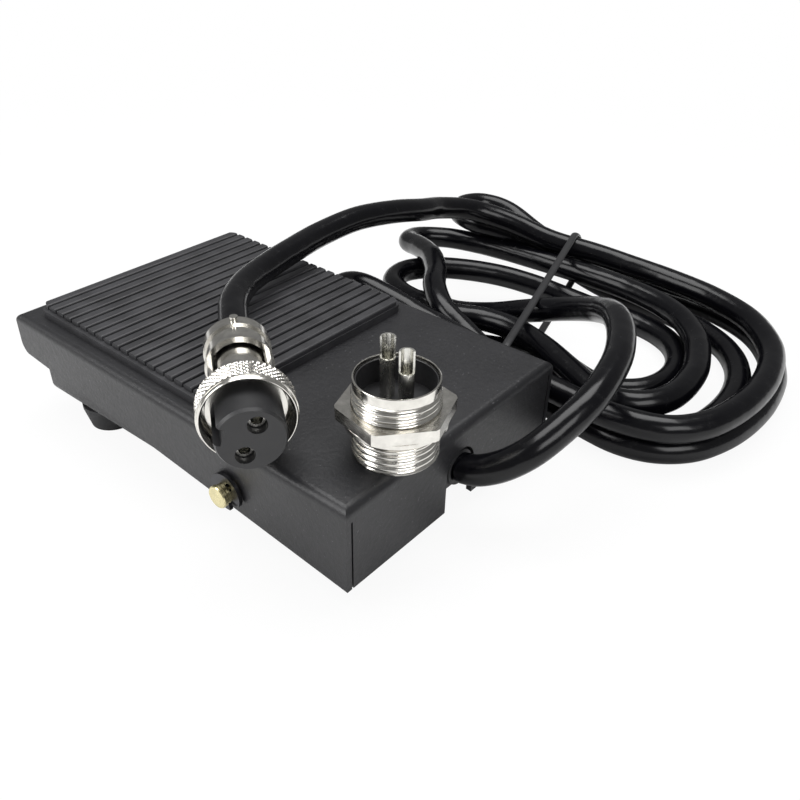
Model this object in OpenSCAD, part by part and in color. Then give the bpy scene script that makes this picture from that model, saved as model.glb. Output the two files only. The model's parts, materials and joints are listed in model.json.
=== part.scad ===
// Pedal foot switch: a folded sheet-steel cover that rocks on a cross pin over a steel tray,
// with a snap-action switch and a return spring between them, a rubber tread pad, four rubber
// feet, and a round cord that ends in a two-pole circular plug with its loose panel socket.
//
// Frame: +Y towards the cord end, +X towards the end of the pin that carries the snap ring,
// +Z up, origin on the floor under the middle of the switch.

/* [Cover] */
// Width of the cover over its side flanges
cover_w = 64; // [62:0.5:66]
// Length of the cover from toe flange to rear flange
cover_l = 102; // [100:0.5:104]
// Thickness of the folded sheet
sheet_t = 1.2; // [1:0.1:1.4]
// Outer radius of the cover's folds
fold_r = 1.8; // [1.6:0.1:2.2]
// Depth of the cover at the toe
toe_depth = 9.6; // [9:0.1:10.5]
// Depth of the cover at the cord end
rear_depth = 18.2; // [17.5:0.1:18.6]
// Angle by which the released cover rises towards the toe
rest_tilt = 1.6; // [1.2:0.1:1.8]

/* [Pivot] */
// Distance of the pin behind the middle of the switch
pivot_y = 17.9; // [17:0.1:19]
// Height of the pin above the floor
pivot_z = 11.3; // [11:0.1:11.6]
// Radius of the cross pin
pin_r = 2.1; // [2:0.05:2.2]
// Running clearance of the cover on the pin
pin_gap = 0.08; // [0.05:0.01:0.1]

/* [Base] */
// Height of the rubber feet
foot_h = 5.6; // [5.4:0.1:6]
// Width of the tray over its side walls
tray_w = 60.4; // [60:0.1:60.6]

/* [Tread pad] */
// Width of the pad
pad_w = 56.8; // [54:0.2:58]
// Length of the pad along the cover
pad_l = 59; // [56:0.5:60]
// Thickness of the pad over its ribs
pad_t = 2.8; // [2.4:0.1:3]
// Number of ribs
rib_count = 20; // [16:1:22]

/* [Cord and plug] */
// Diameter of the cord's jacket
cord_d = 6.2; // [6:0.1:6.4]
// Outer radius of the plug's coupling ring
ring_r = 8.7; // [8.6:0.1:9]
// Radius of the plug's contact insert
insert_r = 6.1; // [5.9:0.1:6.2]

/* [Panel socket] */
// Outer radius of the socket's thread
thread_r = 7.9; // [7.7:0.1:8]
// Height of the socket's shell
socket_h = 15.8; // [15:0.1:16.5]
// Width of the hexagon nut over its flats
nut_flats = 19; // [18.6:0.1:19.4]

/* [Hidden] */
$fn = 48;

// colours
steel_black = [0.10, 0.10, 0.11];
rubber_black = [0.06, 0.06, 0.065];
nylon_black = [0.09, 0.09, 0.10];
pvc_black = [0.05, 0.05, 0.055];
nickel = [0.80, 0.79, 0.76];
zinc_yellow = [0.86, 0.78, 0.48];
spring_steel = [0.35, 0.35, 0.37];
plunger_red = [0.65, 0.12, 0.10];

// cover, in its own frame: origin on the pin's axis, +Y towards the cord
plate_h = 11.5;
cover_rear = 30.1;
cover_toe = cover_rear - cover_l;
inner_r = fold_r - sheet_t;
notch_w = 8.6;
cord_z = 12.6;

// tray, in the part's frame
tray_rear = pivot_y + 28.2;
tray_toe = pivot_y - 65.6;
tray_floor = foot_h + sheet_t;
tray_top_toe = 18.8;
tray_top_rear = 20;
tray_fold = 2.6;

// feet
foot_x = 23.5;
foot_toe_y = tray_toe + 12.5;
foot_rear_y = tray_rear - 9.5;

// switch
switch_y = pivot_y - 20;
case_w = 19.8;
case_d = 6.4;
case_z = tray_floor + 0.8;
case_h = 10;
plunger_top = case_z + case_h + 1.4;

// spring
spring_y = pivot_y - 42;
spring_r = 4.6;
spring_wire_r = 0.6;

// plug: its axis runs level from the clamp to the face
plug_face = [37, pivot_y + 14.7, 32.15];
plug_yaw = 53.4;
plug_pitch = 1.2;

// socket, on the cover
socket_x = 13.6;
socket_y = 25.0;
socket_flange_z = 6.8;

// ---- shared shapes -------------------------------------------------------------------------

// flat outline in Y and Z, drawn out along X
module along_x(x0, x1) {
    translate([x0, 0, 0]) rotate([90, 0, 90]) linear_extrude(x1 - x0) children();
}

// flat outline in X and Z, drawn out along Y
module along_y(y0, y1) {
    translate([0, y1, 0]) rotate([90, 0, 0]) linear_extrude(y1 - y0) children();
}

// rectangle with round corners
module round_rect(x0, x1, y0, y1, r) {
    translate([x0 + r, y0]) square([x1 - x0 - 2 * r, y1 - y0]);
    translate([x0, y0 + r]) square([x1 - x0, y1 - y0 - 2 * r]);
    for (x = [x0 + r, x1 - r], y = [y0 + r, y1 - r]) translate([x, y]) circle(r);
}

// rectangle whose upper two corners are round
module arch_rect(x0, x1, y0, y1, r) {
    translate([x0, y0]) square([x1 - x0, y1 - y0 - r]);
    translate([x0 + r, y0]) square([x1 - x0 - 2 * r, y1 - y0]);
    for (x = [x0 + r, x1 - r]) translate([x, y1 - r]) circle(r);
}

// rectangle whose lower two corners are round
module dish_rect(x0, x1, y0, y1, r) {
    translate([x0, y0 + r]) square([x1 - x0, y1 - y0 - r]);
    translate([x0 + r, y0]) square([x1 - x0 - 2 * r, y1 - y0]);
    for (x = [x0 + r, x1 - r]) translate([x, y0 + r]) circle(r);
}

module on_pedal() {
    translate([0, pivot_y, pivot_z]) rotate([-rest_tilt, 0, 0]) children();
}

// round tube swept along points, cut square to the path at each of them
function unit(v) = v / norm(v);
function tangent(p, i) = unit(p[min(i + 1, len(p) - 1)] - p[max(i - 1, 0)]);
function carried(n, t) = unit(n - t * (n * t));
function frames(p, i, n) = i == len(p) ? [] :
    let (m = carried(n, tangent(p, i))) concat([m], frames(p, i + 1, m));
function first_normal(p) = let (t = tangent(p, 0))
    carried(abs(t[2]) < 0.8 ? [0, 0, 1] : [1, 0, 0], t);
module swept_tube(p, r, sides) {
    rings = len(p);
    normals = frames(p, 0, first_normal(p));
    points = [for (i = [0:rings - 1]) let (n = normals[i], b = cross(tangent(p, i), n))
        for (k = [0:sides - 1]) p[i] + r * (n * cos(360 * k / sides) + b * sin(360 * k / sides))];
    walls = [for (i = [0:rings - 2]) for (k = [0:sides - 1]) let (j = (k + 1) % sides)
        [i * sides + k, (i + 1) * sides + k, (i + 1) * sides + j, i * sides + j]];
    first_cap = [[for (k = [0:sides - 1]) k]];
    last_cap = [[for (k = [sides - 1:-1:0]) (rings - 1) * sides + k]];
    polyhedron(points, concat(walls, first_cap, last_cap));
}

// smooth curve through hand-placed points, with a given number of steps between each pair
function blend(a, b, c, d, t) = 0.5 * ((2 * b) + (c - a) * t + (2 * a - 5 * b + 4 * c - d) * t * t
    + (3 * b - a - 3 * c + d) * t * t * t);
function smooth(p, steps) = concat([for (i = [0:len(p) - 2]) for (s = [0:steps - 1])
    blend(p[max(i - 1, 0)], p[i], p[i + 1], p[min(i + 2, len(p) - 1)], s / steps)],
    [p[len(p) - 1]]);

// ---- pedal ---------------------------------------------------------------------------------

// line of the cover's lower edge, seen from the side
module cover_side_outline() {
    edge_r = 3;
    toe_z = plate_h - toe_depth;
    rear_z = plate_h - rear_depth;
    difference() {
        polygon([[cover_toe, toe_z], [cover_rear, rear_z], [cover_rear, plate_h],
            [cover_toe, plate_h]]);
        translate([cover_toe, toe_z - 0.4]) difference() {
            square(edge_r);
            translate([edge_r, edge_r]) circle(edge_r);
        }
    }
}

module cover_block(inset, r) {
    low = plate_h - rear_depth - 1;
    x = cover_w / 2 - inset;
    intersection() {
        along_y(cover_toe + inset, cover_rear - inset) arch_rect(-x, x, low, plate_h - inset, r);
        along_x(-x, x) arch_rect(cover_toe + inset, cover_rear - inset, low, plate_h - inset, r);
    }
}

// inverted U that lets the cord out of the rear flange, open at its foot
module cord_notch() {
    centre_z = cord_z - pivot_z + 0.9;
    along_y(cover_rear - sheet_t - 1, cover_rear + 1) {
        translate([0, centre_z]) circle(notch_w / 2);
        translate([-notch_w / 2, centre_z - 20]) square([notch_w, 20]);
    }
}

// slits beside the side flanges, where the sheet was cut before it was folded
module corner_slits() {
    slit_w = 0.4;
    x = cover_w / 2 - sheet_t - slit_w;
    for (side = [-1, 1]) {
        translate([side * (x + slit_w / 2) - slit_w / 2, cover_rear - sheet_t - 0.2, -30])
            cube([slit_w, sheet_t + 1, 30 + plate_h - fold_r - 1]);
        translate([side * (x + slit_w / 2) - slit_w / 2, cover_toe - 0.8, -30])
            cube([slit_w, sheet_t + 1, 30 + plate_h - fold_r - 1]);
    }
}

module pedal_cover() {
    color(steel_black) on_pedal() difference() {
        intersection() {
            cover_block(0, fold_r);
            along_x(-cover_w, cover_w) cover_side_outline();
        }
        cover_block(sheet_t, inner_r);
        rotate([0, 90, 0]) cylinder(r = pin_r + pin_gap, h = 2 * cover_w, center = true);
        cord_notch();
        corner_slits();
    }
}

// ribs with round ends on a thin slab that shows as a ledge along the sides
module tread_pad() {
    slab_t = 1.7;
    ledge = 0.9;
    corner_r = 2.6;
    toe = cover_toe + 4.6;
    pitch = pad_l / rib_count;
    groove = 0.55;
    color(rubber_black) on_pedal() translate([0, 0, plate_h]) {
        linear_extrude(slab_t)
            round_rect(-pad_w / 2, pad_w / 2, toe, toe + pad_l, corner_r);
        intersection() {
            translate([0, 0, slab_t - 0.1]) linear_extrude(pad_t - slab_t + 0.1)
                round_rect(-pad_w / 2 + ledge, pad_w / 2 - ledge, toe, toe + pad_l, corner_r);
            along_x(-pad_w / 2, pad_w / 2) for (i = [0:rib_count - 1])
                translate([toe + (i + 0.5) * pitch, 0])
                    arch_rect(-(pitch - groove) / 2, (pitch - groove) / 2, slab_t - 0.1, pad_t, 0.45);
        }
    }
}

// stepped stud welded under the cover, which presses the plunger
module press_stud() {
    head_z = plate_h - sheet_t;
    stud_y = switch_y - pivot_y;
    stud_h = head_z - (plunger_top + 0.1 - pivot_z) + stud_y * sin(rest_tilt);
    color(nickel) on_pedal() translate([0, stud_y, head_z]) rotate([180, 0, 0])
        rotate_extrude() {
            square([4.5, 0.8]);
            square([2.2, stud_h - 0.6]);
            square([1.6, stud_h]);
            translate([1.6, stud_h - 0.6]) intersection() {
                circle(0.6);
                square(0.6);
            }
        }
}

// ---- base ----------------------------------------------------------------------------------

module tray_block(inset, r) {
    x = tray_w / 2 - inset;
    high = tray_top_rear + 1;
    intersection() {
        along_y(tray_toe + inset, tray_rear - inset) dish_rect(-x, x, foot_h + inset, high, r);
        along_x(-x, x) dish_rect(tray_toe + inset, tray_rear - inset, foot_h + inset, high, r);
    }
}

module base_tray() {
    color(steel_black) difference() {
        tray_block(0, tray_fold);
        tray_block(sheet_t, tray_fold - sheet_t);
        along_x(-cover_w, cover_w) polygon([[tray_toe - 1, tray_top_toe], [tray_rear + 1, tray_top_rear],
            [tray_rear + 1, tray_top_rear + 9], [tray_toe - 1, tray_top_rear + 9]]);
        translate([0, pivot_y, pivot_z]) rotate([0, 90, 0])
            cylinder(r = pin_r, h = cover_w, center = true);
        translate([0, tray_rear, cord_z]) rotate([90, 0, 0])
            cylinder(r = 4, h = 6, center = true);
        for (x = [-foot_x, foot_x], y = [foot_toe_y, foot_rear_y])
            translate([x, y, 0]) cylinder(r = 1.5, h = 20);
    }
}

// headed pin with a groove for the snap ring and a flat button end
module pivot_pin() {
    end_x = cover_w / 2 + 3.2;
    groove_x = cover_w / 2 + 0.35;
    groove_w = 0.9;
    color(zinc_yellow) translate([0, pivot_y, pivot_z]) rotate([0, 90, 0]) rotate_extrude() {
        translate([0, -cover_w / 2 - 1]) square([pin_r, groove_x + cover_w / 2 + 1]);
        translate([0, -cover_w / 2 - 1]) square([1.55, end_x + cover_w / 2 + 1]);
        translate([0, groove_x + groove_w]) square([pin_r, end_x - groove_x - groove_w - 0.4]);
        translate([0, end_x - 0.5]) square([pin_r - 0.35, 0.5]);
        translate([pin_r - 0.4, end_x - 0.4]) circle(0.4, $fn = 24);
        // round head on the far side
        translate([0, -cover_w / 2 - 2.4]) square([3.4, 2.0]);
        translate([0, -cover_w / 2 - 3.2]) square([2.6, 1.2]);
        translate([2.6, -cover_w / 2 - 2.4]) circle(0.8, $fn = 24);
    }
}

// open ring snapped into the pin's groove, with its two inner teeth
module snap_ring() {
    ring_x = cover_w / 2 + 0.4;
    color(spring_steel) translate([ring_x, pivot_y, pivot_z]) rotate([90, 0, 90])
        linear_extrude(0.8) rotate(-50) difference() {
            circle(4);
            circle(1.55);
            polygon([[0, 0], [5, 2.6], [5, -2.6]]);
            for (a = [105, 255]) rotate(a) translate([2.35, 0]) circle(0.85);
        }
}

module foot(x, y) {
    color(rubber_black) translate([x, y, 0]) rotate_extrude() difference() {
        polygon([[0, 0], [5.2, 0], [6.3, foot_h - 1], [6.3, foot_h], [0, foot_h]]);
        square([1.3, foot_h]);
        square([3.3, 2.8]);
    }
}
module foot_toe_near() { foot(foot_x, foot_toe_y); }
module foot_toe_far() { foot(-foot_x, foot_toe_y); }
module foot_rear_near() { foot(foot_x, foot_rear_y); }
module foot_rear_far() { foot(-foot_x, foot_rear_y); }

// pan-head screws up through the feet, with a nut on each inside the tray
module foot_screws() {
    head_z = 1.2;
    color(nickel) for (x = [-foot_x, foot_x], y = [foot_toe_y, foot_rear_y]) translate([x, y, 0]) {
        translate([0, 0, head_z]) cylinder(r = 2.8, h = 1.6);
        translate([0, 0, head_z]) cylinder(r = 1.3, h = tray_floor - head_z + 2.6);
        translate([0, 0, tray_floor]) cylinder(r = 2.75, h = 1.8, $fn = 6);
    }
}

module return_spring() {
    turns = 5;
    steps = 14;
    low = tray_floor + spring_wire_r;
    high = 22.5 - spring_wire_r;
    path = [for (i = [0:turns * steps]) let (a = 360 * i / steps, t = i / (turns * steps))
        [spring_r * cos(a), spring_y + spring_r * sin(a),
            low + (high - low) * (t < 0.1 ? t * 0.4 : t > 0.9 ? 1 - (1 - t) * 0.4 :
                0.04 + (t - 0.1) * 1.15)]];
    color(spring_steel) swept_tube(path, spring_wire_r, 8);
}

module spring_seat() {
    color(steel_black) translate([0, spring_y, tray_floor]) rotate_extrude() {
        square([3.6, 2.4]);
        square([3.0, 3.0]);
        translate([3.0, 2.4]) circle(0.6, $fn = 24);
    }
}

// ---- snap-action switch --------------------------------------------------------------------

// the rivets stand between the terminals
rivet_x = [-3.65, 3.65];
// foot under the switch, with an upright plate against its toe side
module switch_bracket() {
    plate_t = 0.8;
    upright_y = switch_y - case_d / 2 - plate_t;
    color(steel_black) difference() {
        union() {
            translate([-case_w / 2, upright_y, tray_floor]) cube([case_w, 15, plate_t]);
            translate([-case_w / 2, upright_y, tray_floor]) cube([case_w, plate_t, case_h + 0.2]);
        }
        for (x = [-4.75, 4.75]) translate([x, upright_y + plate_t / 2, case_z + 3.2])
            rotate([90, 0, 0]) cylinder(r = 1.05, h = 4, center = true);
        for (x = rivet_x) translate([x, switch_y + 8, 0]) cylinder(r = 1.2, h = 20);
    }
}

module bracket_rivets() {
    color(nickel) for (x = rivet_x) translate([x, switch_y + 8, tray_floor]) rotate_extrude() {
        square([1.2, 1.6]);
        translate([0, 0.8]) square([1.9, 0.5]);
        translate([0, 1.3]) square([1.4, 0.5]);
        translate([1.4, 1.3]) circle(0.5, $fn = 24);
    }
}

module switch_screw_holes(r) {
    for (x = [-4.75, 4.75]) translate([x, switch_y, case_z + 3.2])
        rotate([90, 0, 0]) cylinder(r = r, h = 20, center = true);
}

// moulded case with a shaft for the plunger
module switch_case() {
    color(nylon_black) difference() {
        along_y(switch_y - case_d / 2, switch_y + 1.2) translate([0, case_z])
            round_rect(-case_w / 2, case_w / 2, 0, case_h, 0.8);
        switch_screw_holes(1.05);
        translate([-1.7, switch_y - 1.2, plunger_top - 4.2]) cube([3.4, 2.3, 9]);
    }
}

module switch_lid() {
    color(nylon_black) difference() {
        along_y(switch_y + 1.2, switch_y + case_d / 2) translate([0, case_z])
            round_rect(-case_w / 2, case_w / 2, 0, case_h, 0.8);
        switch_screw_holes(1.05);
        for (x = [-7.3, 0, 7.3]) translate([x - 1.6, switch_y, case_z + 0.7]) cube([3.2, 6, 0.5]);
    }
}

module switch_screws() {
    front = switch_y + case_d / 2;
    color(nickel) for (x = [-4.75, 4.75]) translate([x, front, case_z + 3.2]) rotate([90, 0, 0]) {
        cylinder(r = 1, h = case_d + 1.8);
        translate([0, 0, -1.3]) cylinder(r = 1.9, h = 1.3);
        translate([0, 0, case_d + 0.8]) cylinder(r = 2.1, h = 1.2, $fn = 6);
    }
}

module switch_plunger() {
    color(plunger_red) translate([-1.5, switch_y - 1, plunger_top - 2.8]) cube([3, 1.9, 2.8]);
}

module switch_terminals() {
    color(nickel) for (x = [-7.3, 0, 7.3]) difference() {
        translate([x - 1.6, switch_y + 1.2, case_z + 0.7]) cube([3.2, 8, 0.5]);
        translate([x, switch_y + 7.6, 0]) cylinder(r = 0.8, h = 20);
    }
}

// two cores from the cord, under the pin, to the outer terminals
wire_r = 0.7;
function wire_route(side) = [[side * 1.2, pivot_y + 10.5, cord_z],
    [side * 1.3, pivot_y + 8, 12], [side * 2, pivot_y + 5.2, 9.8], [side * 2.8, pivot_y + 3, 8.2],
    [side * 4.2, pivot_y - 1, 7.9], [side * 5.9, pivot_y - 5, 8.2],
    [side * 7, pivot_y - 8.5, 9.1], [side * 7.3, switch_y + 8.6, 9.5],
    [side * 7.3, switch_y + 6.4, 9.5]];
module wire_a() { color("white") swept_tube(smooth(wire_route(1), 3), wire_r, 8); }
module wire_b() { color([0.2, 0.3, 0.7]) swept_tube(smooth(wire_route(-1), 3), wire_r, 8); }

// ---- cord inside the tray ------------------------------------------------------------------

// bush in the tray's rear wall: inner flange, waist in the wall, outer nose in the notch
module cord_grommet() {
    color(rubber_black) translate([0, tray_rear, cord_z]) rotate([-90, 0, 0])
        rotate_extrude() difference() {
            polygon([[0, -3], [5.2, -3], [5.2, -sheet_t], [4, -sheet_t], [4, 0.9], [3.7, 1.9],
                [0, 1.9]]);
            translate([0, -5]) square([cord_d / 2, 10]);
        }
}

stub_front = pivot_y + 10;
module cord_stub() {
    color(pvc_black) translate([0, stub_front, cord_z]) rotate([-90, 0, 0])
        cylinder(d = cord_d, h = tray_rear + 1.9 - stub_front);
}

clamp_y = pivot_y + 15;
// strap over the cord, screwed to the tray on both sides
module cord_clamp() {
    strap_w = 6;
    strap_t = 1;
    r = cord_d / 2;
    color(nickel) difference() {
        along_y(clamp_y - strap_w / 2, clamp_y + strap_w / 2) difference() {
            union() {
                translate([0, cord_z]) circle(r + strap_t);
                translate([-r - strap_t, tray_floor]) square([2 * (r + strap_t), cord_z - tray_floor]);
                translate([-10, tray_floor]) square([20, strap_t]);
            }
            translate([0, cord_z]) circle(r);
            translate([-r, 0]) square([2 * r, cord_z]);
        }
        for (x = [-7.3, 7.3]) translate([x, clamp_y, 0]) cylinder(r = 1.3, h = 20);
    }
}

module clamp_screws() {
    color(nickel) for (x = [-7.3, 7.3]) translate([x, clamp_y, tray_floor]) {
        cylinder(r = 1.3, h = 2);
        translate([0, 0, 1]) cylinder(r = 2.4, h = 1.4);
    }
}

// ---- free cord -----------------------------------------------------------------------------

// out of the bush, then a rising loop round to the top of the hank
rear_route = [[0, 48, 12.6], [-0.8, 52, 13.3], [-3.5, 56.8, 15.8], [-8.5, 60.8, 19.6],
    [-20, 63.5, 24.5], [-33, 61.5, 26], [-44, 57, 26], [-53, 51, 25], [-61, 43, 21],
    [-67, 31, 15]];
// from the hank over the far edge of the pedal to the back of the plug
plug_route = [[-103, 5, 15], [-99, -8, 19], [-92, -17, 22.5], [-81, -20, 25.5],
    [-71, -19, 28], [-60, -19.5, 30.5], [-47, -21, 32], [-34, -21, 32], [-22, -19, 32],
    [-11, -16.3, 32.1], [-1.5, -12.6, 32.6], [6.2, -7.3, 33], [11.2, -1.8, 33],
    [18.52, 7.72, 32.8]];

module cord_to_hank() { color(pvc_black) swept_tube(rear_route, cord_d / 2, 10); }
module cord_to_plug() { color(pvc_black) swept_tube(plug_route, cord_d / 2, 10); }

// folded runs of the cord, lying flat beside the switch
hank_x = -77.3;
hank_y = 23.5;
hank_w = 81.5;
hank_l = 121;
hank_h = 15;
tie_y = 14;
tie_w = 2.4;
tie_t = 1.2;
module cord_hank() {
    color(pvc_black) difference() {
        translate([hank_x, hank_y, 0]) linear_extrude(hank_h)
            round_rect(-hank_w / 2, hank_w / 2, -hank_l / 2, hank_l / 2, 38);
        translate([-200, tie_y - tie_w / 2, -1]) cube([200, tie_w, 1 + tie_t]);
    }
}

// thin band tied round the middle of the hank
module cord_tie() {
    x = hank_w / 2;
    color(nylon_black) translate([hank_x, 0, 0]) along_y(tie_y - tie_w / 2, tie_y + tie_w / 2)
        difference() {
            round_rect(-x - tie_t, x + tie_t, 0, hank_h + tie_t, 1.5);
            translate([-x, tie_t]) square([2 * x, hank_h - tie_t]);
        }
}

// ---- plug ----------------------------------------------------------------------------------

// plug's own frame: +Z out of its face, origin at the centre of the face
module on_plug() {
    translate(plug_face) rotate([0, 0, plug_yaw]) rotate([0, 90 + plug_pitch, 0]) children();
}

ring_front = -5.7;
ring_l = 5.4;
body_r = 4.7;
sleeve_r = 6;
collar_back = -31;
saddle_turns = [0, -120];
collar_l = 8;
flange_back = -13;
contact_angles = [156, -24];
contact_offset = 3.1;

module plug_insert() {
    color(nylon_black) on_plug() difference() {
        union() {
            translate([0, 0, -0.6]) cylinder(r1 = insert_r, r2 = insert_r - 0.35, h = 0.6);
            translate([0, 0, -12]) cylinder(r = insert_r, h = 11.4);
        }
        for (a = contact_angles) rotate(a) translate([contact_offset, 0, -9]) cylinder(r = 1.7, h = 12);
        rotate(-105) translate([insert_r - 1.4, -1.6, -8]) cube([3, 3.2, 12]);
    }
}

module plug_contacts() {
    color(nickel) on_plug() for (a = contact_angles) rotate(a) translate([contact_offset, 0, -9])
        difference() {
            cylinder(r = 1.5, h = 7.2);
            translate([0, 0, 1]) cylinder(r = 1.05, h = 12);
        }
}

// barrel: a wide part round the insert, which the ring turns on, and a narrow one behind it
module plug_body() {
    color(nickel) on_plug() difference() {
        union() {
            translate([0, 0, flange_back]) cylinder(r = insert_r + 0.9, h = 4);
            translate([0, 0, collar_back + 2.5]) cylinder(r = body_r, h = 16);
        }
        translate([0, 0, -12]) cylinder(r = insert_r, h = 20);
        translate([0, 0, collar_back - 1]) cylinder(d = cord_d, h = 12);
    }
}

module coupling_ring() {
    back = ring_front - ring_l;
    color(nickel) on_plug() difference() {
        union() {
            translate([0, 0, back]) cylinder(r1 = ring_r - 0.3, r2 = ring_r, h = 0.3);
            translate([0, 0, back + 0.3]) cylinder(r = ring_r, h = ring_l - 1.1);
            translate([0, 0, ring_front - 0.8]) cylinder(r = ring_r - 0.3, h = 0.8);
        }
        translate([0, 0, back + 1.2]) cylinder(r = 8, h = 20);
        translate([0, 0, back - 1]) cylinder(r = insert_r + 0.98, h = 20);
    }
}

// thin sleeve behind the ring: a collar with a rim, and two legs that reach the wide part
module plug_sleeve() {
    window_l = flange_back - collar_back - collar_l;
    color(nickel) on_plug() difference() {
        union() {
            translate([0, 0, collar_back]) cylinder(r = sleeve_r, h = flange_back - collar_back);
            translate([0, 0, collar_back + collar_l - 0.4]) cylinder(r = sleeve_r + 0.4, h = 0.4);
        }
        translate([0, 0, collar_back + 2.5]) cylinder(r = sleeve_r - 0.7, h = 40);
        translate([0, 0, collar_back - 1]) cylinder(d = cord_d, h = 14);
        for (side = [-1, 1]) translate([side * (sleeve_r + 2), 0, flange_back - window_l / 2])
            cube([2 * sleeve_r, 4 * sleeve_r, window_l], center = true);
    }
}

// clamp ring round the collar's rear end, with a screw above and one low on the far side
module plug_saddle() {
    color(nickel) on_plug() translate([0, 0, collar_back + 0.2]) difference() {
        cylinder(r = sleeve_r + 0.4, h = 2.6);
        translate([0, 0, -1]) cylinder(r = sleeve_r, h = 12);
        for (turn = saddle_turns) translate([0, 0, 1.3]) rotate(turn) rotate([0, -90, 0])
            cylinder(r = 0.8, h = 10);
    }
}

module plug_screws() {
    color(nickel) on_plug() for (turn = saddle_turns)
        translate([0, 0, collar_back + 1.5]) rotate(turn) rotate([0, -90, 0])
            translate([0, 0, sleeve_r]) cylinder(r = 0.8, h = 1.2);
}

// ---- panel socket --------------------------------------------------------------------------

module on_socket() {
    on_pedal() translate([socket_x, socket_y, plate_h + 0.05]) children();
}

module socket_shell() {
    color(nickel) on_socket() difference() {
        union() {
            cylinder(r = thread_r, h = socket_h);
            translate([0, 0, socket_flange_z]) cylinder(r = 9.4, h = 1.3);
        }
        translate([0, 0, -1]) cylinder(r = 6.6, h = 10);
        translate([0, 0, 10.2]) cylinder(r = thread_r - 0.6, h = 20);
        translate([0, 0, 8]) cylinder(r = 6, h = 3);
    }
}

module socket_insulator() {
    color(nylon_black) on_socket() difference() {
        union() {
            translate([0, 0, 9]) cylinder(r = 6, h = 1.4);
            translate([0, 0, 7]) cylinder(r = 6.6, h = 2);
        }
        for (side = [-1, 1]) translate([side * 0.8, side * 2.75, 0]) cylinder(r = 1.1, h = 20);
    }
}

// pins towards the mating end, with solder cups at the other
module socket_pins() {
    cup_r = 1.35;
    cup_top = 21.9;
    color(nickel) on_socket() for (side = [-1, 1]) translate([side * 0.8, side * 2.75, 0]) difference() {
        union() {
            translate([0, 0, 1.2]) cylinder(r1 = 0.6, r2 = 1, h = 0.5);
            translate([0, 0, 1.7]) cylinder(r = 1, h = 5.3);
            translate([0, 0, 7]) cylinder(r = 1.1, h = 4);
            translate([0, 0, 10.4]) cylinder(r = cup_r, h = cup_top - 10.4);
        }
        translate([0, 0, 16]) cylinder(r = cup_r - 0.35, h = 10);
        rotate(40) translate([0, -2, 18]) cube([4, 4, 10]);
    }
}

module socket_nut() {
    nut_h = 2.3;
    color(nickel) on_socket() translate([0, 0, socket_flange_z + 1.35]) rotate(20) difference() {
        intersection() {
            cylinder(r = nut_flats / sqrt(3), h = nut_h, $fn = 6);
            cylinder(r = nut_flats / sqrt(3) - 0.25, h = nut_h);
        }
        translate([0, 0, -1]) cylinder(r = thread_r + 0.06, h = 10);
    }
}

pedal_cover();
tread_pad();
press_stud();
base_tray();
pivot_pin();
snap_ring();
foot_toe_near();
foot_toe_far();
foot_rear_near();
foot_rear_far();
foot_screws();
return_spring();
spring_seat();
switch_bracket();
bracket_rivets();
switch_case();
switch_lid();
switch_screws();
switch_plunger();
switch_terminals();
wire_a();
wire_b();
cord_grommet();
cord_stub();
cord_clamp();
clamp_screws();
cord_to_hank();
cord_hank();
cord_tie();
cord_to_plug();
plug_sleeve();
plug_body();
plug_insert();
plug_contacts();
plug_saddle();
plug_screws();
coupling_ring();
socket_shell();
socket_nut();
socket_insulator();
socket_pins();
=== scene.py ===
import json
import math

import bpy
from mathutils import Matrix, Vector


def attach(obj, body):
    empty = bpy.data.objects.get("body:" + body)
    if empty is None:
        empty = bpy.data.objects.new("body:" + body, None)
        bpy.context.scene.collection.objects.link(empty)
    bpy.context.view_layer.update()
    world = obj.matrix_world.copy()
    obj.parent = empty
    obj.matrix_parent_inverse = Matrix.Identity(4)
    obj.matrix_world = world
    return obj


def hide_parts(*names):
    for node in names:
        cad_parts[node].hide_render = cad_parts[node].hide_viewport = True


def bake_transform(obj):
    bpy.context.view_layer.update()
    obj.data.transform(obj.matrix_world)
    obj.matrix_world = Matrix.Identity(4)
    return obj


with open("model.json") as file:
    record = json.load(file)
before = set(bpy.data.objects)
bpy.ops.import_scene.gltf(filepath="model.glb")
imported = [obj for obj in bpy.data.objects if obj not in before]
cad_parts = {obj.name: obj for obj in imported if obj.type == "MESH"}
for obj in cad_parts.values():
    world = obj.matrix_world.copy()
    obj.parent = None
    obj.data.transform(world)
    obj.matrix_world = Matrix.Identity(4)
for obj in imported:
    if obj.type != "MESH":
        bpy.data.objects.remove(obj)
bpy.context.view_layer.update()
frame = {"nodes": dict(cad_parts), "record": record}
MM = 0.001


# ---- camera -------------------------------------------------------------------------------
# Seen from behind and above the cord end, with the snap ring's side to the left.


def add_camera():
    lens = bpy.data.cameras.new("camera")
    lens.lens = 38.12
    lens.sensor_width = 36
    lens.clip_start = 0.005
    camera = bpy.data.objects.new("camera", lens)
    camera.location = (0.1066, 0.1227, 0.1122)
    camera.rotation_euler = (math.radians(57.0), math.radians(0.1), math.radians(130.06))
    bpy.context.scene.collection.objects.link(camera)
    bpy.context.scene.camera = camera


add_camera()


# ---- cord ---------------------------------------------------------------------------------
# Round PVC lead, 6.2 mm over its jacket. It leaves the notch in the rear flange, is folded
# into a hank beside the switch, and comes back over the pedal to the plug.

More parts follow.
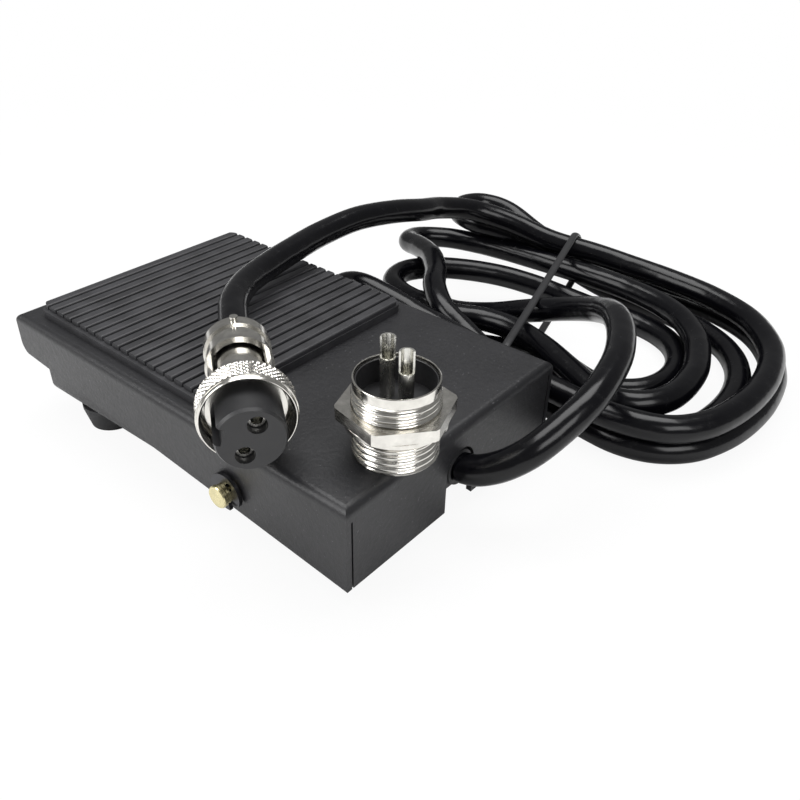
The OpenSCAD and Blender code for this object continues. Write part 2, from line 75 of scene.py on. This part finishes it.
CORD_D = 6.2 * MM
LOOP_TO_HANK = [
    (0, 48, 12.6), (-0.8, 52, 13.3), (-3.5, 56.8, 15.8), (-8.5, 60.8, 19.6),
    (-20, 63.5, 24.5), (-33, 61.5, 26), (-44, 57, 26), (-53, 51, 25), (-61, 43, 21),
    (-67, 31, 15),
]
HANK = [
    # under the rising loop, and the first fold at the toe end
    (-67, 20, 10.8), (-66.5, 9, 6.6), (-66, -2, 3.9), (-66, -12.7, 3.3), (-63.2, -19.6, 3.3),
    (-56.3, -22.4, 3.3), (-49.4, -19.6, 3.3), (-46.6, -12.7, 3.3),
    # inner loop on the floor, out along the near edge and back along the far one
    (-47.5, -2, 3.3), (-51.5, 7, 3.3), (-56, 16, 3.3), (-59.5, 26, 3.3), (-60, 36, 3.3),
    (-57.5, 44.5, 3.3), (-58, 51.5, 3.3), (-63, 57, 3.3), (-71, 59, 3.3), (-79.5, 57.5, 3.3),
    (-86.5, 53, 3.3), (-91, 46, 3.3), (-93, 37, 3.3), (-93, 27, 3.4), (-92.3, 17, 4.4),
    (-90, 8, 6.2), (-86, -1, 8), (-80.5, -9.5, 9.3), (-74.8, -17, 9.8), (-68, -21.8, 9.8),
    (-61, -20.8, 9.8), (-56.3, -14.8, 9.8), (-54.3, -6, 9.8),
    # second loop, on top of the inner one
    (-54, 4, 9.8), (-57.5, 13, 9.8), (-58, 22, 9.8), (-54.5, 33, 9.8), (-49, 44, 9.8),
    (-44.5, 54, 9.7), (-46.5, 62, 9.6), (-54, 66.5, 9.6), (-65, 66.5, 9.6), (-74, 64, 9.6),
    (-83, 59.5, 9.6), (-91, 52, 9.6), (-95.8, 43, 9.6), (-98.3, 33, 9.6), (-99.2, 23, 9.6),
    (-99.5, 13, 9.6), (-99.5, 3, 9.6), (-99.2, -8, 9.6), (-97.8, -18, 9.8), (-94.3, -27, 10.3),
    (-87, -32.8, 11.4), (-79.5, -30.5, 13), (-75.3, -22.8, 14.6), (-70, -14.5, 15.8),
    (-63, -7.5, 15.9), (-55, -1.5, 15.7), (-49.2, 6, 13.8),
    # outermost loop on the floor, and the raised fold at its toe end
    (-47.6, 14.5, 10.4), (-46.3, 24, 6.8), (-44.3, 34, 4.2), (-42.3, 44, 3.3), (-40.5, 53.5, 3.3),
    (-39.8, 62, 3.3), (-42, 69.5, 3.3), (-47.5, 75.5, 3.3), (-55.5, 79, 3.3), (-65.5, 80.8, 3.3),
    (-76, 80.8, 3.3), (-88, 78.6, 3.3), (-99, 73, 3.3), (-108, 64.3, 3.3), (-113.5, 51, 3.3),
    (-115, 36, 3.4), (-114.5, 20, 4), (-114.3, 6, 6.5), (-115, -7, 10.5), (-116, -19, 14.6),
    (-113.2, -26.8, 16.3), (-106.7, -29.8, 17),
    # back under the lead, and round the middle loop the other way
    (-100.2, -27.2, 16.9), (-97.6, -20, 16.5), (-99.8, -12, 15.4), (-104.8, -4, 12),
    (-107, 5, 8.2), (-107.2, 15, 5), (-106.3, 25, 3.5), (-105.3, 36, 3.3), (-102.8, 47, 3.3),
    (-98.8, 57, 3.3), (-92.8, 65.3, 3.3), (-84.5, 71, 3.3), (-74.5, 74, 3.3), (-64, 74.5, 3.3),
    (-55, 72.6, 3.3), (-48.8, 66.8, 3.3), (-47.3, 59, 3.3), (-48.8, 50, 3.3), (-51, 41, 3.3),
    (-52.8, 31, 3.3), (-52.2, 21.5, 3.3), (-48.3, 12, 3.3), (-43.5, 2.5, 3.3),
    # upright fold beside the cover, and the last loop, rising to the lead
    (-40.8, -5.5, 3.3), (-39.9, -14, 3.3), (-39.5, -20.6, 5.5), (-39.3, -22.9, 10.6),
    (-39.5, -20.6, 15.7), (-40, -14.5, 17.9), (-40.9, -5.5, 16.6), (-41.5, 4, 14.4),
    (-41.6, 14, 12.7), (-41.2, 25, 11.2), (-40.4, 36, 10.1), (-39.3, 47, 9.8), (-38.3, 57, 9.8),
    (-39.2, 65.5, 9.7), (-42.5, 72.5, 9.6), (-49, 77.3, 9.6), (-58, 79.8, 9.6),
    (-68.5, 80.6, 9.6), (-80, 79.2, 9.6), (-91, 75, 9.6), (-101.5, 66, 9.6), (-107.5, 54, 9.8),
    (-109.5, 41, 10.4), (-109, 29, 11.4), (-107, 17, 13),
]
HANK_TO_PLUG = [
    (-103, 5, 15), (-99, -8, 19), (-92, -17, 22.5), (-81, -20, 25.5), (-71, -19, 28),
    (-60, -19.5, 30.5), (-47, -21, 32), (-34, -21, 32), (-22, -19, 32), (-11, -16.3, 32.1),
    (-1.5, -12.6, 32.6), (6.2, -7.3, 33), (11.2, -1.8, 33), (18.52, 7.72, 32.8),
]
# the last few millimetres run inside the plug's collar
IN_COLLAR = [(21.5, 11.7, 32.7)]


def smooth_curve(name, points, radius):
    """An open curve through the points, with the tangents of a Catmull-Rom spline."""
    curve = bpy.data.curves.new(name, "CURVE")
    curve.dimensions = "3D"
    # the knots' own radius, not the bevel's, keeps the curve's bounds tight
    curve.bevel_depth = 1.0
    curve.bevel_resolution = 7
    curve.resolution_u = 8
    curve.use_fill_caps = True
    spline = curve.splines.new("BEZIER")
    spline.bezier_points.add(len(points) - 1)
    for i, knot in enumerate(spline.bezier_points):
        before, here, after = (points[min(max(k, 0), len(points) - 1)] for k in (i - 1, i, i + 1))
        reach = (after - before) / 6
        knot.co = here
        knot.radius = radius
        knot.handle_left_type = knot.handle_right_type = "FREE"
        knot.handle_left = here - reach
        knot.handle_right = here + reach
    piece = bpy.data.objects.new(name, curve)
    bpy.context.scene.collection.objects.link(piece)
    return piece


def add_cord():
    route = [Vector(p) * MM for p in LOOP_TO_HANK + HANK + HANK_TO_PLUG + IN_COLLAR]
    cord = smooth_curve("cord", route, CORD_D / 2)
    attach(cord, "base")
    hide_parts("cord_to_hank", "cord_hank", "cord_to_plug")
    return cord


cord = add_cord()


# ---- materials ----------------------------------------------------------------------------


class Field:
    """A number or colour that varies over a surface. Arithmetic on it adds maths nodes."""

    def __init__(self, surface, socket):
        self.surface, self.socket = surface, socket

    def maths(self, operation, *operands):
        node = self.surface.tree.nodes.new("ShaderNodeMath")
        node.operation = operation
        for entry, value in zip(node.inputs, operands):
            self.surface.set(entry, value)
        return Field(self.surface, node.outputs[0])

    def __add__(self, other):
        return self.maths("ADD", self, other)

    def __radd__(self, other):
        return self.maths("ADD", other, self)

    def __sub__(self, other):
        return self.maths("SUBTRACT", self, other)

    def __rsub__(self, other):
        return self.maths("SUBTRACT", other, self)

    def __mul__(self, other):
        return self.maths("MULTIPLY", self, other)

    def __rmul__(self, other):
        return self.maths("MULTIPLY", other, self)


class Surface:
    """A material with one Principled shader, to which fields and plain values are given."""

    def __init__(self, name):
        self.material = bpy.data.materials.new(name)
        self.material.use_nodes = True
        self.tree = self.material.node_tree
        self.shader = self.tree.nodes["Principled BSDF"]
        self.place = self.node("TexCoord", output="Object")

    def set(self, entry, value):
        if isinstance(value, Field):
            self.tree.links.new(value.socket, entry)
        elif isinstance(value, tuple):
            entry.default_value = (*value, 1)
        else:
            entry.default_value = value

    def node(self, kind, output=0, settings=None, **inputs):
        node = self.tree.nodes.new("ShaderNode" + kind)
        for key, value in (settings or {}).items():
            setattr(node, key, value)
        for key, value in inputs.items():
            self.set(node.inputs[key.replace("_", " ")], value)
        return Field(self, node.outputs[output])

    def noise(self, size, detail=2.0, roughness=0.5):
        """Noise from 0 to 1 with lumps of about that size in metres."""
        return self.node("TexNoise", Vector=self.place, Scale=1 / size, Detail=detail,
                         Roughness=roughness)

    def ramp(self, field, low, high):
        return self.node("MapRange", Value=field, From_Min=low, From_Max=high)

    def mix(self, factor, one, other):
        node = self.tree.nodes.new("ShaderNodeMix")
        node.data_type = "RGBA"
        for name, value in (("Factor", factor), ("A", one), ("B", other)):
            self.set(node.inputs[name], value)
        return Field(self, node.outputs["Result"])

    def finish(self, colour, roughness, metallic=0.0, height=None, depth=0.0, **more):
        """Gives the shader its values. depth is how far the height field stands out, in metres."""
        if height is not None:
            more["Normal"] = self.node("Bump", Height=height, Distance=depth, Strength=1.0)
        for key, value in {"Base_Color": colour, "Roughness": roughness, "Metallic": metallic,
                           **more}.items():
            self.set(self.shader.inputs[key.replace("_", " ")], value)
        return self.material


def powder_coat():
    """Black powder coat: a fine pebble, and a few pale specks of dust."""
    s = Surface("black_paint")
    pebble = s.noise(0.9 * MM, 3, 0.6)
    dust = s.ramp(s.noise(0.55 * MM, 1), 0.74, 0.78)
    shade = s.ramp(s.noise(14 * MM), 0.3, 0.7)
    base = s.mix(shade, (0.009, 0.009, 0.0105), (0.015, 0.015, 0.017))
    colour = s.mix(dust * 0.5, base, (0.16, 0.16, 0.17))
    return s.finish(colour, 0.3 + pebble * 0.2, height=pebble, depth=0.07 * MM)


def soft_rubber(name, colour, rough):
    """Moulded rubber: a dull bloom in patches over a faint grain."""
    s = Surface(name)
    grain = s.noise(0.35 * MM, 2)
    bloom = s.ramp(s.noise(7 * MM, 3), 0.35, 0.75)
    pale = tuple(1.9 * c for c in colour)
    return s.finish(s.mix(bloom, colour, pale), rough + bloom * 0.14, height=grain,
                    depth=0.02 * MM)


def cord_jacket():
    """Glossy PVC with the slight waviness of an extruded jacket."""
    s = Surface("cord_pvc")
    wave = s.noise(9 * MM, 2)
    scuff = s.ramp(s.noise(2.5 * MM, 4, 0.7), 0.55, 0.8)
    colour = s.mix(scuff, (0.002, 0.002, 0.003), (0.006, 0.006, 0.007))
    return s.finish(colour, 0.2 + scuff * 0.16, height=wave, depth=0.35 * MM,
                    Specular_IOR_Level=0.3)


def bright_metal(name, colour, rough, grain=0.25):
    """Plated metal: slight clouding, and the fine marks of turning."""
    s = Surface(name)
    cloud = s.noise(1.8 * MM, 3, 0.6)
    marks = s.noise(grain * MM, 2)
    dark = tuple(0.82 * c for c in colour)
    tint = s.mix(s.ramp(cloud, 0.35, 0.7), dark, colour)
    return s.finish(tint, rough + cloud * 0.12, metallic=1.0, height=marks, depth=0.006 * MM)


def moulded(name, colour, rough):
    """Moulded plastic with a fine spark-eroded grain."""
    s = Surface(name)
    grain = s.noise(0.2 * MM, 2)
    tone = s.noise(4 * MM, 2)
    pale = tuple(1.5 * c for c in colour)
    return s.finish(s.mix(tone, colour, pale), rough + grain * 0.12, height=grain, depth=0.01 * MM)


MATERIALS = {
    "black_paint": powder_coat(),
    "tread_rubber": soft_rubber("tread_rubber", (0.018, 0.018, 0.020), 0.42),
    "foot_rubber": soft_rubber("foot_rubber", (0.014, 0.014, 0.015), 0.5),
    "zinc_pin": bright_metal("zinc_pin", (0.80, 0.72, 0.42), 0.2),
    "spring_steel": bright_metal("spring_steel", (0.07, 0.07, 0.075), 0.3),
    "plated_steel": bright_metal("plated_steel", (0.62, 0.62, 0.60), 0.25),
    "black_nylon": moulded("black_nylon", (0.014, 0.014, 0.015), 0.35),
    "red_nylon": moulded("red_nylon", (0.45, 0.05, 0.03), 0.3),
    "silver_contact": bright_metal("silver_contact", (0.80, 0.79, 0.74), 0.2),
    "cord_pvc": cord_jacket(),
    "core_pvc": moulded("core_pvc", (0.55, 0.55, 0.57), 0.3),
    "nickel": bright_metal("nickel", (0.80, 0.78, 0.73), 0.12),
}


def paint(piece, slot):
    piece.data.materials.clear()
    piece.data.materials.append(MATERIALS[slot])


# every CAD node gets the material of its slot in the record
for subpart in frame["record"]["subparts"]:
    paint(frame["nodes"][subpart["node"]], subpart["material_slot"])
paint(cord, "cord_pvc")


# ---- cord tie -----------------------------------------------------------------------------
# Thin plastic-covered wire tie, drawn round the middle of the hank.


def mesh_piece(name, points, faces, body, slot, *nodes):
    mesh = bpy.data.meshes.new(name)
    mesh.from_pydata([tuple(p) for p in points], [], faces)
    mesh.validate()
    piece = bpy.data.objects.new(name, mesh)
    bpy.context.scene.collection.objects.link(piece)
    for face in mesh.polygons:
        face.use_smooth = True
    mesh.set_sharp_from_angle(angle=math.radians(35))
    paint(piece, slot)
    # a piece that bends between two bodies rides on neither
    if body:
        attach(piece, body)
    if nodes:
        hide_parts(*nodes)
    return piece


def steps(low, high, count):
    return [low + (high - low) * i / count for i in range(count + 1)]


def swept(points, width, thickness, sides=12):
    """Points and faces of a closed loop of oval section, width along Y."""
    rings, faces = [], []
    n = len(points)
    for i, point in enumerate(points):
        along = (points[(i + 1) % n] - points[i - 1]).normalized()
        across = Vector((0, 1, 0))
        out = along.cross(across).normalized()
        for k in range(sides):
            a = 2 * math.pi * k / sides
            rings.append(point + across * (width / 2 * math.cos(a))
                         + out * (thickness / 2 * math.sin(a)))
    for i in range(n):
        for k in range(sides):
            a, b = i * sides, (i + 1) % n * sides
            j = (k + 1) % sides
            faces.append((a + k, a + j, b + j, b + k))
    return rings, faces


def add_tie():
    corners = [
        (-41, 0.9), (-38, 3.5), (-37.4, 8), (-38.4, 12.5), (-42, 14.6), (-50, 14.9), (-60, 15.2),
        (-67, 15.5), (-78, 16), (-90, 16.6), (-100, 17.1), (-106.3, 17.3), (-111, 14.8),
        (-116.6, 9), (-118.2, 5), (-116.5, 1.2), (-110, 0.8), (-60, 0.8),
    ]
    # the tie lies askew: its far side is nearer the toe
    far_x, far_y, slope = -105, 11, 0.3
    path = []
    n = len(corners)
    for i in range(n):
        a, b, c, d = (Vector((x, far_y + slope * (x - far_x), z)) * MM for x, z in (
            corners[i - 1], corners[i], corners[(i + 1) % n], corners[(i + 2) % n]))
        for t in steps(0, 0.75, 3):
            path.append(0.5 * (2 * b + (c - a) * t + (2 * a - 5 * b + 4 * c - d) * t**2
                               + (3 * b - a - 3 * c + d) * t**3))
    points, faces = swept(path, 2.2 * MM, 1.1 * MM)
    return mesh_piece("tie", points, faces, "base", "black_nylon", "cord_tie")


add_tie()


# ---- coupling ring ------------------------------------------------------------------------
# Turned brass, nickel plated: a diamond knurl between plain rims, and a thread inside.


def turned(profile, place, sections, relief=None):
    """Points and faces of a closed profile of (radius, height) turned round a frame's Z."""
    points, faces = [], []
    for k in range(sections):
        angle = 2 * math.pi * k / sections
        for radius, height in profile:
            r = relief(radius, height, angle) if relief else radius
            points.append(place @ Vector((r * math.cos(angle), r * math.sin(angle), height)))
    n = len(profile)
    for k in range(sections):
        for i in range(n):
            a, b = k * n, (k + 1) % sections * n
            faces.append((a + i, b + i, b + (i + 1) % n, a + (i + 1) % n))
    return points, faces


def joint(name):
    return next(j for j in frame["record"]["behaviour"]["joints"] if j["name"] == name)


def axis_frame(origin, axis, x_hint):
    """A frame in millimetres with Z along the axis and X as near the hint as it can be."""
    z = Vector(axis).normalized()
    x = (Vector(x_hint) - z * z.dot(Vector(x_hint))).normalized()
    y = z.cross(x)
    turn = Matrix((x, y, z)).transposed().to_4x4()
    return Matrix.Translation(origin) @ turn @ Matrix.Scale(MM, 4)


# in millimetres, with +Z out of the plug's face
PLUG = axis_frame(joint("ring_turn")["pos_m"], joint("ring_turn")["axis"], (0, 0, -1))


def add_coupling_ring():
    back, front, crest = -11.1, -5.7, 8.7
    knurl_low, knurl_high = back + 0.5, front - 0.95
    teeth, depth, pitch = 52, 0.3, 1.05
    bore, thread_pitch, thread_depth = 8.0, 0.9, 0.16
    hole, step_z = 7.08, back + 1.2

    def relief(radius, height, angle):
        if radius == crest and knurl_low < height < knurl_high:
            u = teeth * angle / (2 * math.pi)
            v = height / pitch
            one = abs(2 * ((u + v) % 1) - 1)
            two = abs(2 * ((u - v) % 1) - 1)
            return radius - depth + depth * min(1, 1.25 * min(one, two))
        if radius == bore:
            turn = 2 * math.pi * (height / thread_pitch) + angle
            return radius - thread_depth * (1 + math.cos(turn))
        return radius

    outside = [(crest, z) for z in steps(knurl_low, knurl_high, 34)]
    inside = [(bore, z) for z in steps(front - 0.5, back + 1.4, 40)]
    profile = (
        [(hole, back), (8.3, back), (8.5, back + 0.2), (8.55, back + 0.4)] + outside
        + [(8.5, front - 0.85), (8.42, front - 0.2), (8.3, front), (8.15, front)] + inside
        + [(bore - 0.02, step_z), (hole, step_z)]
    )
    points, faces = turned(profile, PLUG, 420, relief)
    return mesh_piece("knurled_ring", points, faces, "ring", "nickel", "coupling_ring")


add_coupling_ring()


# ---- socket shell -------------------------------------------------------------------------
# Threaded brass tube with a thin lip, a collar under the nut, and a step inside.


# in millimetres, standing on the cover; the nut's joint is given 8 mm up the socket's axis
NUT_JOINT_HEIGHT = 8
socket_axis = Vector(joint("socket_lift")["axis"])
socket_foot = Vector(joint("nut_turn")["pos_m"]) - NUT_JOINT_HEIGHT * MM * socket_axis
SOCKET = axis_frame(socket_foot, socket_axis, (1, 0, 0))


def add_socket_shell():
    pitch, crest, groove = 1.25, 7.9, 0.5

    def relief(radius, height, angle):
        if radius == crest:
            wave = math.cos(2 * math.pi * height / pitch - angle)
            return crest - groove * (0.5 - 0.5 * wave) ** 1.5
        return radius

    lower = [(crest, z) for z in steps(0.5, 6.7, 60)]
    upper = [(crest, z) for z in steps(8.15, 13.75, 60)]
    profile = (
        [(6.6, 0), (7.5, 0), (7.6, 0.3)] + lower
        + [(9.1, 6.8), (9.4, 7.05), (9.4, 7.85), (9.1, 8.1)] + upper
        + [(7.7, 13.85), (7.7, 15.5), (7.66, 15.7), (7.55, 15.8), (7.38, 15.78), (7.3, 15.6),
           (7.3, 10.2), (6.0, 10.2), (6.0, 9.0), (6.6, 9.0)]
    )
    points, faces = turned(profile, SOCKET, 144, relief)
    return mesh_piece("threaded_shell", points, faces, "socket", "nickel", "socket_shell")


add_socket_shell()


# ---- socket insulator ---------------------------------------------------------------------
# Black moulded disc that holds the pins, with a thin skirt that lines the rear of the shell.


def add_socket_insulator():
    profile = [(0.05, 7), (6.55, 7), (6.55, 9), (5.97, 9), (5.97, 10.25), (7.27, 10.25),
               (7.27, 15.0), (7.12, 15.2), (6.95, 15.1), (6.95, 10.5), (0.05, 10.5)]
    points, faces = turned(profile, SOCKET, 96)
    return mesh_piece("insulator_cup", points, faces, "socket", "black_nylon", "socket_insulator")


add_socket_insulator()


# ---- return spring ------------------------------------------------------------------------
# Steel coil of five turns with closed ends, between its seat in the tray and the cover. It is
# attached to neither body.


def add_return_spring():
    wire, coil, spring_y = 0.6, 4.6, -24.1
    low, high = 7.4, 21.9
    turns, per_turn, sides = 5, 24, 10
    count = turns * per_turn
    up = Vector((0, 0, 1))
    rings, faces = [], []
    for i in range(count + 1):
        t, a = i / count, 2 * math.pi * i / per_turn
        # the first and last half turns lie nearly flat
        rise = 0.4 * t if t < 0.1 else 1 - 0.4 * (1 - t) if t > 0.9 else 0.04 + 1.15 * (t - 0.1)
        out = Vector((math.cos(a), math.sin(a), 0))
        centre = Vector((0, spring_y, low + (high - low) * rise)) + coil * out
        for k in range(sides):
            b = 2 * math.pi * k / sides
            rings.append((centre + wire * (math.cos(b) * out + math.sin(b) * up)) * MM)
    for i in range(count):
        for k in range(sides):
            j = (k + 1) % sides
            faces.append((i * sides + k, i * sides + j, (i + 1) * sides + j, (i + 1) * sides + k))
    faces += [tuple(range(sides))[::-1], tuple(count * sides + k for k in range(sides))]
    spring = mesh_piece("coil_spring", rings, faces, None, "spring_steel", "return_spring")
    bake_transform(spring)


add_return_spring()


# ---- pivot pin ----------------------------------------------------------------------------
# Turned steel pin with a round head, and a broad flat button beyond the snap ring's groove.


def add_pin():
    hinge = Vector(joint("pedal_tilt")["pos_m"])
    place = axis_frame(hinge, joint("pedal_tilt")["axis"], (0, 1, 0))
    profile = [
        (0.05, -35.2), (2.6, -35.2), (3.1, -35.0), (3.4, -34.4), (3.4, -32.4), (2.1, -32.4),
        (2.1, 32.35), (1.55, 32.35), (1.55, 33.25), (2.1, 33.25), (2.1, 34.0), (2.35, 34.3),
        (2.35, 35.0), (2.2, 35.2), (0.05, 35.2),
    ]
    points, faces = turned(profile, place, 64)
    return mesh_piece("turned_pin", points, faces, "base", "zinc_pin", "pivot_pin")


add_pin()


# ---- studio -------------------------------------------------------------------------------
# Pale floor, a pale room that shows white behind the object, and soft lights from above.


def add_floor():
    s = Surface("floor")
    paper = s.noise(4 * MM, 3)
    material = s.finish(s.mix(paper, (0.80, 0.80, 0.80), (0.84, 0.84, 0.84)), 0.8)
    # the paper is nearly as bright as the lit room around it, and blends into it further out
    reach = s.node("VectorMath", "Value", {"operation": "LENGTH"}, Vector=s.place)
    white = s.node("MapRange", Value=reach, From_Min=0.1, From_Max=0.4, To_Min=0.92, To_Max=1.0)
    glow = s.tree.nodes.new("ShaderNodeEmission")
    glow.inputs["Color"].default_value = (1, 1, 1, 1)
    blend = s.tree.nodes.new("ShaderNodeMixShader")
    s.set(blend.inputs[0], s.node("LightPath", "Is Camera Ray") * white)
    s.tree.links.new(s.shader.outputs[0], blend.inputs[1])
    s.tree.links.new(glow.outputs[0], blend.inputs[2])
    s.tree.links.new(blend.outputs[0], s.tree.nodes["Material Output"].inputs[0])
    mesh = bpy.data.meshes.new("floor")
    half = 0.6
    mesh.from_pydata([(-half, -half, 0), (half, -half, 0), (half, half, 0), (-half, half, 0)], [],
                     [(0, 1, 2, 3)])
    mesh.materials.append(material)
    floor = bpy.data.objects.new("floor", mesh)
    bpy.context.scene.collection.objects.link(floor)


def add_room():
    world = bpy.data.worlds.new("room")
    world.use_nodes = True
    tree = world.node_tree
    background = tree.nodes["Background"]
    background.inputs["Color"].default_value = (1, 1, 1, 1)
    seen = tree.nodes.new("ShaderNodeLightPath")
    level = tree.nodes.new("ShaderNodeMapRange")
    level.inputs["To Min"].default_value = 0.22
    level.inputs["To Max"].default_value = 1.0
    tree.links.new(seen.outputs["Is Camera Ray"], level.inputs["Value"])
    tree.links.new(level.outputs[0], background.inputs["Strength"])
    bpy.context.scene.world = world


def add_light(name, place, target, size, power):
    light = bpy.data.lights.new(name, "AREA")
    light.shape = "RECTANGLE"
    light.size, light.size_y = size
    light.energy = power
    lamp = bpy.data.objects.new(name, light)
    lamp.location = place
    lamp.rotation_euler = (Vector(target) - Vector(place)).to_track_quat("-Z", "Y").to_euler()
    bpy.context.scene.collection.objects.link(lamp)


add_floor()
add_room()
add_light("overhead", (-0.15, -0.10, 0.75), (-0.03, 0.02, 0), (0.7, 0.5), 6)
add_light("window", (0.55, -0.35, 0.45), (0, 0, 0.02), (0.4, 0.5), 3)
add_light("behind_camera", (0.25, 0.65, 0.55), (-0.02, 0.02, 0.02), (0.5, 0.4), 3)
bpy.context.scene.view_settings.view_transform = "Standard"

bpy.context.view_layer.update()
